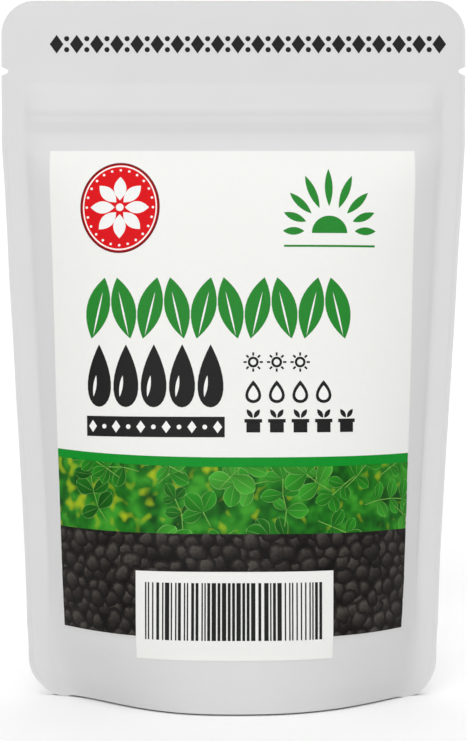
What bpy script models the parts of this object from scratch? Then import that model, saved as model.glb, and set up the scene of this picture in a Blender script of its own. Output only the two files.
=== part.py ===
"""Stand-up seed pouch: a filled, sealed film bag with a zip, a bottom gusset and two paper labels.

Metres, +Z up, the front faces -Y. The origin is on the floor, under the middle of the pouch.
Each sheet starts as a flat blank, with x across, -y through its thickness and z up.
It is then wrapped on the bulged front film, and mirrored for the back.
"""
import math
import random

import bmesh
import bpy
import numpy as np

MM = 0.001

# Film bag, as cut and sealed flat
FLAT_WIDTH = 101.6 * MM
POUCH_HEIGHT = 152.4 * MM
SIDE_SEAL = 5.0 * MM
TOP_CORNER_RADIUS = 7.0 * MM
BOTTOM_CORNER_RADIUS = 8.0 * MM
CORNER_STEPS = 8
FILM_THICKNESS = 0.4 * MM
HALF_GAP = 0.15 * MM

# Lines where the flat film may bend, in millimetres: closer where the bulge turns faster
COLUMN_LINES = (0.0, 5.0, 10.0, 15.0, 20.0, 25.0, 30.0, 34.0, 38.0, 41.0, 43.5, 45.8)
ROW_LINES = (4.5, 10.0, 17.0, 25.0, 34.0, 43.0, 52.0, 61.0, 70.0, 79.0, 88.0, 96.0, 103.0, 109.0,
             114.0, 118.0, 121.0, 123.0, 124.5, 130.2, 131.8, 133.8, 142.0)
TRIM_MARGIN = 2.0 * MM

# Tear notches, one in each side seal
NOTCH_HEIGHT = 137.1 * MM
NOTCH_DEPTH = 1.5 * MM
NOTCH_HALF_OPENING = 1.1 * MM

# Bulge of one film off the middle plane: (height, depth, flatness, edge softness) in millimetres.
# Flatness 2 is a plain arch and 16 a flat-topped one. Softness 1 meets the seal in a crease.
BULGE = (
    (0.0, 19.5, 2.5, 1.5),
    (5.0, 19.1, 2.5, 1.25),
    (14.0, 18.2, 2.5, 0.95),
    (30.0, 16.8, 2.7, 0.9),
    (60.0, 13.6, 2.8, 0.9),
    (90.0, 9.8, 2.8, 0.9),
    (108.0, 6.4, 3.2, 0.95),
    (118.0, 3.2, 5.0, 1.0),
    (123.0, 1.3, 16.0, 1.0),
    (130.5, 1.3, 16.0, 1.0),
    (134.0, 0.0, 16.0, 1.0),
    (152.4, 0.0, 16.0, 1.0),
)
TABLE_STEP = 1.0 * MM
TABLE_COLUMNS = 121
ARCH_SAMPLES = 600
NORMAL_REACH = 0.6 * MM

# Zip: a rib strip inside the front film and a channel strip inside the back film
ZIP_LENGTH = 82.0 * MM
ZIP_LOW = 124.4 * MM
ZIP_HIGH = 129.9 * MM
ZIP_STRIP_THICKNESS = 0.75 * MM
ZIP_RIDGE_HALF_HEIGHT = 0.55 * MM
ZIP_RIDGE_RISE = 0.25 * MM
ZIP_RIDGE_SHORTER = 2.0 * MM
CHANNEL_HALF_SPACING = 1.0 * MM

# Bottom gusset: a folded sheet sealed inside the foot of both films
GUSSET_HALF_LENGTH = 43.0 * MM
GUSSET_FOOT = 0.4 * MM
GUSSET_THICKNESS = 0.4 * MM
GUSSET_CLEARANCE = 0.3 * MM
GUSSET_MIDDLE_HEIGHT = 8.0 * MM
GUSSET_END_HEIGHT = 26.0 * MM
GUSSET_RISE_POWER = 2.8
GUSSET_COLUMNS = 24
GUSSET_SKIRT_ROWS = 3
GUSSET_PANEL_ROWS = 8

# Paper label on the front, and the bar-code sticker over its lower edge
LABEL_GAP = 0.3 * MM
LABEL_THICKNESS = 0.3 * MM
LABEL_WIDTH = 80.0 * MM
LABEL_LOW = 16.2 * MM
LABEL_HIGH = 119.2 * MM
STICKER_WIDTH = 41.2 * MM
STICKER_LOW = 11.4 * MM
STICKER_HIGH = 29.7 * MM

# Seeds: a heap in the lower part of the pouch
SEED_LENGTH = 10.0 * MM
SEED_BREADTH = 8.6 * MM
SEED_CORNERS = 3
SEED_CORNER_RISE = 0.12
SEED_SPACING = 9.0 * MM
SEED_ROW_RISE = 8.2 * MM
SEED_WALL_CLEARANCE = 1.0 * MM
SEED_SCATTER = 0.6 * MM
SEED_COLUMNS = 8
SEED_ROWS = 7
HEAP_LOW = 14.8 * MM
HEAP_HALF_WIDTH = 31.0 * MM
CORE_INSET = 5.2 * MM
CORE_DROP = 2.5 * MM
CORE_SQUARENESS = 0.35
RANDOM_SEED = 17


def clear_scene():
    for old in list(bpy.data.objects):
        bpy.data.objects.remove(old, do_unlink=True)


def new_collection(name):
    collection = bpy.data.collections.new(name)
    bpy.context.scene.collection.children.link(collection)
    return collection


def material(name, colour, roughness, metallic=0.0):
    made = bpy.data.materials.new(name)
    made.use_nodes = True
    shader = made.node_tree.nodes["Principled BSDF"]
    shader.inputs["Base Color"].default_value = (*colour, 1.0)
    shader.inputs["Roughness"].default_value = roughness
    shader.inputs["Metallic"].default_value = metallic
    return made


def bulge_at(height):
    """Depth, flatness and softness of the arch at one height, blended smoothly between BULGE's lines."""
    heights = [line[0] * MM for line in BULGE]
    height = min(max(height, heights[0]), heights[-1])
    upper = next(i for i in range(1, len(BULGE)) if height <= heights[i])
    share = (height - heights[upper - 1]) / (heights[upper] - heights[upper - 1])

    def slope(index, column):
        """Slope of the smooth curve at one line: the harmonic mean of the chords on its two sides."""
        if index in (0, len(BULGE) - 1):
            return 0.0
        before = (BULGE[index][column] - BULGE[index - 1][column]) / (heights[index] - heights[index - 1])
        after = (BULGE[index + 1][column] - BULGE[index][column]) / (heights[index + 1] - heights[index])
        if before * after <= 0.0:
            return 0.0
        return 2.0 * before * after / (before + after)

    def blend(column):
        low, high = BULGE[upper - 1][column], BULGE[upper][column]
        span = heights[upper] - heights[upper - 1]
        rise_low, rise_high = slope(upper - 1, column) * span, slope(upper, column) * span
        cubic = 2 * low - 2 * high + rise_low + rise_high
        square = 3 * high - 3 * low - 2 * rise_low - rise_high
        return cubic * share ** 3 + square * share ** 2 + rise_low * share + low

    return blend(1) * MM, blend(2), blend(3)


def arch(half_chord, depth, flatness, softness):
    """Points and running length of half an arch, from the middle of the film to the side seal."""
    across = half_chord * np.sin(np.linspace(0.0, math.pi / 2.0, ARCH_SAMPLES))
    out = depth * np.clip(1.0 - (across / half_chord) ** flatness, 0.0, None) ** softness
    steps = np.hypot(np.diff(across), np.diff(out))
    return across, out, np.concatenate([[0.0], np.cumsum(steps)])


def fitted_arch(height):
    """The arch at one height, drawn in at the sides until the film keeps its flat width."""
    film_length = FLAT_WIDTH / 2.0 - SIDE_SEAL
    depth, flatness, softness = bulge_at(height)
    narrow, wide = film_length * 0.5, film_length
    for _ in range(40):
        middle = (narrow + wide) / 2.0
        if arch(middle, depth, flatness, softness)[2][-1] > film_length:
            wide = middle
        else:
            narrow = middle
    return arch(middle, depth, flatness, softness)


def film_table():
    """Across and out positions of the film, for rows of heights and columns of distance along it."""
    rows = int(round(POUCH_HEIGHT / TABLE_STEP)) + 2
    along = np.linspace(0.0, FLAT_WIDTH / 2.0, TABLE_COLUMNS)
    across_rows, out_rows = [], []
    for row in range(rows):
        across, out, length = fitted_arch(min(row * TABLE_STEP, POUCH_HEIGHT))
        past_seal = np.clip(along - length[-1], 0.0, None)
        across_rows.append(np.interp(along, length, across) + past_seal)
        out_rows.append(np.interp(along, length, out))
    return np.array(across_rows), np.array(out_rows)


ACROSS_TABLE, OUT_TABLE = film_table()


def film_point(along, height):
    """Point of the inner face of the front film, as (across, out)."""
    column = min(abs(along) / (FLAT_WIDTH / 2.0), 1.0) * (TABLE_COLUMNS - 1)
    row = min(max(height, 0.0), POUCH_HEIGHT) / TABLE_STEP
    left, low = min(int(column), TABLE_COLUMNS - 2), min(int(row), len(ACROSS_TABLE) - 2)
    part_x, part_z = column - left, row - low

    def read(table):
        lower = table[low][left] * (1 - part_x) + table[low][left + 1] * part_x
        upper = table[low + 1][left] * (1 - part_x) + table[low + 1][left + 1] * part_x
        return lower * (1 - part_z) + upper * part_z

    return math.copysign(read(ACROSS_TABLE), along), read(OUT_TABLE)


def on_film(along, height, lift):
    """World point at a distance along the front film, lifted level off its inner face."""
    left = film_point(along - NORMAL_REACH, height)
    right = film_point(along + NORMAL_REACH, height)
    run_x, run_out = right[0] - left[0], right[1] - left[1]
    size = math.hypot(run_x, run_out)
    across, out = film_point(along, height)
    across -= lift * run_out / size
    out += lift * run_x / size
    return across, -(HALF_GAP + out), height


def finish(piece, name, collection, look):
    piece.name = name
    piece.data.name = name
    piece.data.materials.clear()
    piece.data.materials.append(look)
    for owner in list(piece.users_collection):
        owner.objects.unlink(piece)
    collection.objects.link(piece)


def smooth(piece, angle=40.0):
    piece.data.shade_smooth()
    piece.data.set_sharp_from_angle(angle=math.radians(angle))


def apply_modifiers(piece):
    """Replace the object's mesh by the one that its modifiers make."""
    graph = bpy.context.evaluated_depsgraph_get()
    mesh = bpy.data.meshes.new_from_object(piece.evaluated_get(graph))
    piece.modifiers.clear()
    piece.data = mesh


def as_cutter(piece, name, collection):
    for owner in list(piece.users_collection):
        owner.objects.unlink(piece)
    collection.objects.link(piece)
    piece.name = name
    piece.hide_render = True
    piece.display_type = "WIRE"
    return piece


def lines_between(low, high, lines):
    """The two ends, and the bend lines between them that keep off the ends."""
    inner = [line * MM for line in lines if low + MM < line * MM < high - MM]
    return [low] + inner + [high]


def flat_blank(width, low, high, thickness):
    """A flat sheet from y = 0 to y = -thickness, split along the film's bend lines."""
    half = lines_between(0.0, width / 2.0, COLUMN_LINES)
    columns = [-line for line in reversed(half[1:])] + half
    rows = lines_between(low, high, ROW_LINES)
    bpy.ops.mesh.primitive_grid_add(x_subdivisions=len(columns) - 1, y_subdivisions=len(rows) - 1, size=1.0)
    sheet = bpy.context.object
    for vertex in sheet.data.vertices:
        column = round((vertex.co.x + 0.5) * (len(columns) - 1))
        row = round((vertex.co.y + 0.5) * (len(rows) - 1))
        vertex.co = (columns[column], 0.0, rows[row])
    wall = sheet.modifiers.new("thickness", "SOLIDIFY")
    wall.thickness = thickness
    wall.offset = 1.0
    apply_modifiers(sheet)
    return sheet


def boolean(piece, cutter, operation):
    cut = piece.modifiers.new(operation.lower(), "BOOLEAN")
    cut.operation = operation
    cut.object = cutter
    apply_modifiers(piece)


def wrap(piece, front=True):
    """Wrap a flat blank on the front film, or on the back film as its mirror image."""
    sheet = bmesh.new()
    sheet.from_mesh(piece.data)
    bmesh.ops.triangulate(sheet, faces=sheet.faces[:], quad_method="FIXED")
    for vertex in sheet.verts:
        x, y, z = on_film(vertex.co.x, vertex.co.z, -vertex.co.y)
        vertex.co = (x, y if front else -y, z)
    if not front:
        bmesh.ops.reverse_faces(sheet, faces=sheet.faces[:])
    sheet.to_mesh(piece.data)
    sheet.free()


def rounded_outline(cutters):
    """A slab with the bag's rounded corners, which trims the flat film."""
    outline = bpy.data.curves.new("bag_outline", "CURVE")
    outline.dimensions = "2D"
    outline.fill_mode = "BOTH"
    outline.extrude = 2.0 * MM
    half, top, low = FLAT_WIDTH / 2.0, TOP_CORNER_RADIUS, BOTTOM_CORNER_RADIUS
    corners = (
        (half - top, POUCH_HEIGHT - top, top, 0.0),
        (-half + top, POUCH_HEIGHT - top, top, 90.0),
        (-half + low, low, low, 180.0),
        (half - low, low, low, 270.0),
    )
    points = []
    for centre_x, centre_z, radius, start in corners:
        for step in range(CORNER_STEPS + 1):
            turn = math.radians(start + 90.0 * step / CORNER_STEPS)
            points.append((centre_x + radius * math.cos(turn), centre_z + radius * math.sin(turn)))
    spline = outline.splines.new("POLY")
    spline.points.add(len(points) - 1)
    for point, (x, z) in zip(spline.points, points):
        point.co = (x, z, 0.0, 1.0)
    spline.use_cyclic_u = True
    curve = bpy.data.objects.new("bag_outline", outline)
    bpy.context.scene.collection.objects.link(curve)
    graph = bpy.context.evaluated_depsgraph_get()
    mesh = bpy.data.meshes.new_from_object(curve.evaluated_get(graph))
    slab = bpy.data.objects.new("bag_trimmer", mesh)
    bpy.context.scene.collection.objects.link(slab)
    bpy.data.objects.remove(curve, do_unlink=True)
    shape = bmesh.new()
    shape.from_mesh(mesh)
    bmesh.ops.remove_doubles(shape, verts=shape.verts[:], dist=0.00001)
    for vertex in shape.verts:
        x, up, out = vertex.co
        vertex.co = (x, -out, up)
    bmesh.ops.recalc_face_normals(shape, faces=shape.faces[:])
    shape.to_mesh(mesh)
    shape.free()
    return as_cutter(slab, "bag_trimmer", cutters)


def notch_cutter(side, cutters):
    """A bar with a diamond section, whose inner corner cuts a V in the side seal."""
    bpy.ops.mesh.primitive_cylinder_add(vertices=4, radius=1.0, depth=6.0 * MM)
    bar = bpy.context.object
    for vertex in bar.data.vertices:
        x, y, z = vertex.co
        vertex.co = (side * FLAT_WIDTH / 2.0 + x * NOTCH_DEPTH, z, NOTCH_HEIGHT + y * NOTCH_HALF_OPENING)
    shape = bmesh.new()
    shape.from_mesh(bar.data)
    bmesh.ops.recalc_face_normals(shape, faces=shape.faces[:])
    shape.to_mesh(bar.data)
    shape.free()
    return as_cutter(bar, "notch_cutter", cutters)


def build_film(name, front, look, parts, cutters):
    sheet = flat_blank(FLAT_WIDTH + 2.0 * TRIM_MARGIN, -TRIM_MARGIN, POUCH_HEIGHT + TRIM_MARGIN, FILM_THICKNESS)
    boolean(sheet, rounded_outline(cutters), "INTERSECT")
    for side in (-1.0, 1.0):
        boolean(sheet, notch_cutter(side, cutters), "DIFFERENCE")
    wrap(sheet, front)
    smooth(sheet)
    finish(sheet, name, parts, look)


def build_label(name, width, low, high, lift, look, parts):
    sheet = flat_blank(width, low, high, LABEL_THICKNESS)
    for vertex in sheet.data.vertices:
        vertex.co.y -= lift
    wrap(sheet)
    smooth(sheet)
    finish(sheet, name, parts, look)


def build_zip_strip(name, front, ridges, look, parts):
    """A flat strip beside the middle plane, with ridges on its outer face along the length of the zip."""
    middle = (ZIP_LOW + ZIP_HIGH) / 2.0
    rise = ZIP_HIGH - ZIP_LOW
    outer = HALF_GAP + ZIP_STRIP_THICKNESS
    bpy.ops.mesh.primitive_cube_add(size=1.0)
    strip = bpy.context.object
    for vertex in strip.data.vertices:
        x, y, z = vertex.co
        vertex.co = (x * ZIP_LENGTH, -HALF_GAP - (0.5 - y) * ZIP_STRIP_THICKNESS, middle + z * rise)
    for height in ridges:
        bpy.ops.mesh.primitive_cylinder_add(vertices=10, radius=1.0, depth=ZIP_LENGTH - ZIP_RIDGE_SHORTER)
        ridge = bpy.context.object
        for vertex in ridge.data.vertices:
            x, y, z = vertex.co
            vertex.co = (z, x * ZIP_RIDGE_RISE - outer, middle + height + y * ZIP_RIDGE_HALF_HEIGHT)
        boolean(strip, ridge, "UNION")
        bpy.data.objects.remove(ridge, do_unlink=True)
    if not front:
        for vertex in strip.data.vertices:
            vertex.co.y *= -1.0
        strip.data.flip_normals()
    smooth(strip)
    finish(strip, name, parts, look)


def gusset_height(along):
    """Height of the gusset's panel above the floor, low in the middle and high at the ends."""
    share = min(abs(along) / GUSSET_HALF_LENGTH, 1.0)
    return GUSSET_MIDDLE_HEIGHT + (GUSSET_END_HEIGHT - GUSSET_MIDDLE_HEIGHT) * share ** GUSSET_RISE_POWER


def gusset_point(along, way):
    """A point of the gusset, for a distance along the foot and a way from front (0) to back (1)."""
    height = gusset_height(along)
    rows = 2 * GUSSET_SKIRT_ROWS + GUSSET_PANEL_ROWS
    row = way * rows
    up_skirt = min(row, rows - row) / GUSSET_SKIRT_ROWS
    if up_skirt < 1.0:
        x, y, z = on_film(along, GUSSET_FOOT + (height - GUSSET_FOOT) * up_skirt, -GUSSET_CLEARANCE)
        return x, y if way < 0.5 else -y, z
    x, front, z = on_film(along, height, -GUSSET_CLEARANCE)
    share = (row - GUSSET_SKIRT_ROWS) / GUSSET_PANEL_ROWS
    return x, front * (1.0 - 2.0 * share), z


def build_gusset(look, parts):
    rows = 2 * GUSSET_SKIRT_ROWS + GUSSET_PANEL_ROWS
    bpy.ops.mesh.primitive_grid_add(x_subdivisions=GUSSET_COLUMNS, y_subdivisions=rows, size=1.0)
    sheet = bpy.context.object
    for vertex in sheet.data.vertices:
        along = vertex.co.x * 2.0 * GUSSET_HALF_LENGTH
        vertex.co = gusset_point(along, vertex.co.y + 0.5)
    wall = sheet.modifiers.new("thickness", "SOLIDIFY")
    wall.thickness = GUSSET_THICKNESS
    wall.offset = -1.0
    apply_modifiers(sheet)
    smooth(sheet)
    finish(sheet, "bottom_gusset", parts, look)


def seed(centre, draw):
    """One seed: a low sphere drawn out to three blunt corners, turned at random."""
    bpy.ops.mesh.primitive_uv_sphere_add(segments=6, ring_count=4, radius=0.5)
    grain = bpy.context.object
    for vertex in grain.data.vertices:
        x, y, z = vertex.co
        corner = 1.0 + SEED_CORNER_RISE * math.cos(SEED_CORNERS * math.atan2(y, x))
        vertex.co = (x * SEED_BREADTH * corner, y * SEED_BREADTH * corner, z * SEED_LENGTH)
    grain.rotation_euler = [draw.uniform(0.0, math.pi) for _ in range(3)]
    grain.location = centre
    return grain


def inside_pouch(along, height, depth):
    """Point that lies a depth inside the front film, stopped at the middle plane."""
    x, y, z = on_film(along, height, -depth)
    return x, min(y, 0.0), z


def heap_top():
    return HEAP_LOW + (SEED_ROWS - 1) * SEED_ROW_RISE


def seed_centres(draw):
    """Staggered rows of seeds behind both films, and a row along the middle of the heap's top."""
    radius = SEED_LENGTH / 2.0
    centres = []
    for row in range(SEED_ROWS):
        height = HEAP_LOW + row * SEED_ROW_RISE
        count = SEED_COLUMNS - row % 2
        for number in range(count):
            along = (number - (count - 1) / 2.0) * SEED_SPACING
            if height < gusset_height(along) + radius + SEED_WALL_CLEARANCE:
                continue
            depth = radius + SEED_WALL_CLEARANCE + draw.uniform(0.0, SEED_SCATTER)
            x, y, z = inside_pouch(along, height, depth)
            for side in (1.0, -1.0):
                centres.append((x, side * y, z + draw.uniform(-SEED_SCATTER, SEED_SCATTER)))
    for number in range(SEED_COLUMNS - 1):
        along = (number - (SEED_COLUMNS - 2) / 2.0) * SEED_SPACING
        centres.append((along, 0.0, heap_top() + draw.uniform(0.0, 2.0 * SEED_SCATTER)))
    return centres


def heap_core():
    """The packed middle of the heap: a low sphere drawn out to follow the films and the gusset."""
    bpy.ops.mesh.primitive_uv_sphere_add(segments=20, ring_count=10, radius=1.0)
    core = bpy.context.object
    low, high = HEAP_LOW - CORE_DROP, heap_top() + CORE_DROP
    for vertex in core.data.vertices:
        x, y, z = vertex.co
        spread = math.hypot(x, y) ** CORE_SQUARENESS
        turn = math.atan2(y, x)
        along = math.cos(turn) * HEAP_HALF_WIDTH * spread
        height = max((low + high) / 2.0 + z * (high - low) / 2.0, gusset_height(along) + CORE_DROP)
        reach = max(film_point(along, height)[1] - CORE_INSET, SEED_WALL_CLEARANCE)
        vertex.co = (along, math.sin(turn) * reach * spread, height)
    return core


def build_seed_fill(look, parts):
    draw = random.Random(RANDOM_SEED)
    heap = bpy.data.collections.new("heap")
    bpy.context.scene.collection.children.link(heap)
    core = heap_core()
    for grain_centre in seed_centres(draw):
        grain = seed(grain_centre, draw)
        for owner in list(grain.users_collection):
            owner.objects.unlink(grain)
        heap.objects.link(grain)
    join = core.modifiers.new("seeds", "BOOLEAN")
    join.operation = "UNION"
    join.operand_type = "COLLECTION"
    join.collection = heap
    join.solver = "MANIFOLD"
    apply_modifiers(core)
    for grain in list(heap.objects):
        bpy.data.objects.remove(grain, do_unlink=True)
    bpy.data.collections.remove(heap)
    finish(core, "seed_fill", parts, look)


def main():
    clear_scene()
    parts = new_collection("stand_up_seed_pouch")
    cutters = new_collection("cutters")
    film = material("matte_white_film", (0.72, 0.72, 0.72), 0.55)
    paper = material("satin_paper", (0.88, 0.88, 0.87), 0.4)
    clear_plastic = material("natural_polyethylene", (0.8, 0.8, 0.8), 0.45)
    husk = material("dry_seed_husk", (0.09, 0.06, 0.04), 0.8)

    build_film("front_film", True, film, parts, cutters)
    build_film("back_film", False, film, parts, cutters)
    build_gusset(film, parts)
    build_zip_strip("zip_rib_strip", True, (0.0,), clear_plastic, parts)
    channel_ridges = (-CHANNEL_HALF_SPACING, CHANNEL_HALF_SPACING)
    build_zip_strip("zip_channel_strip", False, channel_ridges, clear_plastic, parts)
    on_top = FILM_THICKNESS + LABEL_GAP
    build_label("front_label", LABEL_WIDTH, LABEL_LOW, LABEL_HIGH, on_top, paper, parts)
    over_label = on_top + LABEL_THICKNESS + LABEL_GAP
    build_label("barcode_label", STICKER_WIDTH, STICKER_LOW, STICKER_HIGH, over_label, paper, parts)
    build_seed_fill(husk, parts)


main()
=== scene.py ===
# %% [markdown]
# # A stand-up seed pouch
# A stand-up pouch is two sheets of white film, heat sealed down both sides and across the top.
# A third, folded sheet closes the bottom and opens into a foot, and a zip runs inside the mouth.
# A paper label is stuck on the front, with a bar-code sticker over its lower edge.
# The solid model gives the sizes and the places. This lesson makes the surfaces that are seen.

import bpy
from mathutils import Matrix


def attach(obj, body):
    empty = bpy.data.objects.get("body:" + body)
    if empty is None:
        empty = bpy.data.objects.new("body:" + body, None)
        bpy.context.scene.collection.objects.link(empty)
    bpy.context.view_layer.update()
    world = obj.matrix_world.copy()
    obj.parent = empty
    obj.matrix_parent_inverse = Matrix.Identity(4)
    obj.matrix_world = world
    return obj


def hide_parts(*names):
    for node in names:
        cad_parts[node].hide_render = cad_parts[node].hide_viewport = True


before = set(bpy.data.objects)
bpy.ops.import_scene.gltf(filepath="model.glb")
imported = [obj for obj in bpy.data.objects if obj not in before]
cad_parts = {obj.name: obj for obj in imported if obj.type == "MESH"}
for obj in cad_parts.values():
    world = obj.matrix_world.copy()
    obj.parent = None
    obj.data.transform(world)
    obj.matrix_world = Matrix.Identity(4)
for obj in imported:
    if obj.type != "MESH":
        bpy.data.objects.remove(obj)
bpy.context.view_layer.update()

# %% Modules and the unit of the drawings
import math
import random
from collections import namedtuple

import bmesh
import bpy
import numpy as np
from mathutils import Matrix, Vector

MM = 0.001

# %% [markdown]
# ## Small helpers
# An operator acts on everything that is selected, so each new piece starts from an empty selection.
# Points are read and written as one numpy array, because a film has tens of thousands of them.

# %% Select one object, or nothing


def deselect():
    bpy.ops.object.select_all(action="DESELECT")


def select(piece):
    deselect()
    piece.select_set(True)
    bpy.context.view_layer.objects.active = piece


def apply_all(piece):
    """Apply an object's modifiers in their order."""
    select(piece)
    for modifier in list(piece.modifiers):
        bpy.ops.object.modifier_apply(modifier=modifier.name)


# %% Read and write a mesh's points


def read_points(piece):
    flat = np.empty(len(piece.data.vertices) * 3)
    piece.data.vertices.foreach_get("co", flat)
    return flat.reshape(-1, 3)


def write_points(piece, points):
    piece.data.vertices.foreach_set("co", np.ascontiguousarray(points, dtype=np.float32).ravel())
    piece.data.update()


# %% Name a finished piece, give it its finish and let it ride on the pouch


def dress(piece, name, look):
    piece.name = name
    piece.data.name = name
    piece.data.materials.clear()
    piece.data.materials.append(look)
    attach(piece, "root")
    print(name, len(piece.data.polygons), "faces")


# %% [markdown]
# ## Colours and nodes
# Colours are written as the hex values that a picture shows. Blender's shaders want linear light,
# so one function turns hex to linear. One more gives a node its inputs, and one adds a node.

# %% Hex colour to linear


def linear(hex_colour):
    channels = [int(hex_colour[i:i + 2], 16) / 255.0 for i in (1, 3, 5)]
    return (*[c / 12.92 if c <= 0.04045 else ((c + 0.055) / 1.055) ** 2.4 for c in channels], 1.0)


# %% Set a node's inputs, add a node, and start a material


def set_inputs(tree, node, inputs):
    """Give each input a value, an output to read, or a node, whose first output in use it reads."""
    for socket, source in inputs.items():
        if isinstance(source, bpy.types.Node):
            source = next(output for output in source.outputs if output.enabled)
        if isinstance(source, bpy.types.NodeSocket):
            tree.links.new(source, node.inputs[socket])
        else:
            node.inputs[socket].default_value = source


def add_node(tree, kind, inputs=None, stops=(), **settings):
    """Add one shader node. A colour ramp has two stops of its own, and those after them are added."""
    node = tree.nodes.new("ShaderNode" + kind)
    for name, value in settings.items():
        setattr(node, name, value)
    set_inputs(tree, node, inputs or {})
    for number, (position, hex_colour) in enumerate(stops):
        elements = node.color_ramp.elements
        stop = elements[number] if number < 2 else elements.new(position)
        stop.position = position
        stop.color = linear(hex_colour)
    return node


def new_material(name, roughness, ior=1.5, specular=0.5):
    """A material with its node tree and its shader, whose steady values are set on the shader."""
    made = bpy.data.materials.new(name)
    made.use_nodes = True
    shader = made.node_tree.nodes["Principled BSDF"]
    set_inputs(made.node_tree, shader, {"Roughness": roughness, "IOR": ior, "Specular IOR Level": specular})
    return made, made.node_tree, shader


# %% [markdown]
# ## The shape of the film
# A filled pouch keeps the width its film was cut to: where it bulges forward, its sides draw in.
# So each height has an arch from seal to seal, and the arch's chord is found from the film's length.
# A soft cushion made by simulation would do it too, but this rule gives the photographed outline.

# %% The bag as it was cut flat, in millimetres
FLAT_WIDTH = 101.6
POUCH_HEIGHT = 152.4
SIDE_SEAL = 5.0
HALF_GAP = 0.15
TOP_CORNER_RADIUS = 7.4
BOTTOM_CORNER_WIDTHS = (7.2, 6.2)
BOTTOM_CORNER_RISE = 9.0
CORNER_REACH = 36.0
NOTCH_HEIGHT = 137.0
NOTCH_DEPTH = 1.5
NOTCH_HALF_OPENING = 0.95

# %% Height, depth, flatness, softness and lean of one film's arch, in millimetres
# Flatness 2 is a plain arch and 28 a flat-topped one. Softness 1 meets the seal in a crease.
# The seeds lie more to the right at the foot, so the lean makes that half fuller and the left one softer.
BELLY = [
    (0.0, 19.1, 2.6, 1.8, 0.22),
    (5.0, 18.85, 2.65, 1.45, 0.2),
    (14.0, 18.1, 2.9, 1.12, 0.1),
    (30.0, 16.8, 3.1, 1.08, 0.03),
    (60.0, 13.6, 3.35, 1.08, 0.0),
    (90.0, 9.8, 3.3, 1.08, 0.0),
    (100.0, 7.9, 3.9, 1.08, 0.0),
    (108.0, 5.7, 5.2, 1.08, 0.0),
    (113.0, 3.9, 7.6, 1.08, 0.0),
    (116.0, 2.65, 10.0, 1.05, 0.0),
    (118.0, 1.79, 13.0, 1.0, 0.0),
    (119.0, 1.35, 14.0, 1.0, 0.0),
    (120.0, 0.94, 16.0, 1.0, 0.0),
    (121.0, 0.66, 20.0, 1.0, 0.0),
    (121.7, 0.53, 24.0, 1.0, 0.0),
]
# Above the belly only the height and the depth change: two low ridges over the zip, then the mouth.
MOUTH_FLATNESS = 28.0
MOUTH = (
    (122.3, 0.45), (123.3, 0.40), (123.9, 0.45), (124.4, 0.51), (125.2, 0.59), (125.8, 0.66),
    (126.1, 0.668), (127.0, 0.672), (127.8, 0.77), (128.2, 0.79), (128.5, 0.78), (129.0, 0.71),
    (129.65, 0.60), (129.9, 0.575), (131.3, 0.445), (132.7, 0.27), (134.2, 0.045), (134.5, 0.0),
    (152.4, 0.0),
)
BULGE = np.array(BELLY + [(height, depth, MOUTH_FLATNESS, 1.0, 0.0) for height, depth in MOUTH])

# %% A smooth curve through a list of values


def smooth_through(places, values, at):
    """Cubic curve through the values, which never overshoots between two of them."""
    span = np.diff(places)
    chord = np.diff(values) / span
    agree = chord[:-1] * chord[1:] > 0.0
    total = np.where(agree, chord[:-1] + chord[1:], 1.0)
    inner = np.where(agree, 2.0 * chord[:-1] * chord[1:] / total, 0.0)
    slope = np.concatenate([[0.0], inner, [0.0]])
    index = int(np.clip(np.searchsorted(places, at) - 1, 0, len(span) - 1))
    share = (at - places[index]) / span[index]
    rise_low, rise_high = slope[index] * span[index], slope[index + 1] * span[index]
    cubic = 2.0 * (values[index] - values[index + 1]) + rise_low + rise_high
    square = 3.0 * (values[index + 1] - values[index]) - 2.0 * rise_low - rise_high
    return cubic * share ** 3 + square * share ** 2 + rise_low * share + values[index]


# %% One arch, drawn in until the film keeps its length
ARCH_SAMPLES = 500
HALVINGS = 30
FILM_LENGTH = FLAT_WIDTH / 2.0 - SIDE_SEAL


def arch(half_chord, depth, flatness, softness):
    across = half_chord * np.sin(np.linspace(0.0, math.pi / 2.0, ARCH_SAMPLES))
    out = depth * np.clip(1.0 - (across / half_chord) ** flatness, 0.0, None) ** softness
    steps = np.hypot(np.diff(across), np.diff(out))
    return across, out, np.concatenate([[0.0], np.cumsum(steps)])


def fitted_arch(height, side):
    """The half arch at a height, on the left (-1) or on the right (1)."""
    heights, *columns = BULGE.T
    depth, flatness, softness, lean = [smooth_through(heights, column, height) for column in columns]
    shape = (depth, flatness, softness * (1.0 - side * lean))
    narrow, wide = FILM_LENGTH * 0.5, FILM_LENGTH
    for _ in range(HALVINGS):
        middle = (narrow + wide) / 2.0
        if arch(middle, *shape)[2][-1] > FILM_LENGTH:
            wide = middle
        else:
            narrow = middle
    return arch(middle, *shape)


# %% A table of the film, looked up for any point of it
# Film is too stiff to fold sharply at a seal, so each row of the table is blurred along the film:
# by little beside the belly, and by more near the foot, where the gusset holds the film stiff.
TABLE_STEP = 0.4
TABLE_COLUMNS = 509
BLUR_HEIGHTS = (0.0, 10.0, 30.0, 120.0, 124.0)
BLUR_REACHES = (2.6, 2.4, 1.0, 0.8, 0.4)


def blurred(values, reach):
    """Mean of the values around each one, weighed by a bell curve of the given reach in millimetres."""
    count = math.ceil(3.0 * reach / (FLAT_WIDTH / (TABLE_COLUMNS - 1)))
    bell = np.exp(-0.5 * (3.0 * np.arange(-count, count + 1) / count) ** 2)
    return np.convolve(np.pad(values, count, mode="edge"), bell / bell.sum(), mode="valid")


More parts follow.
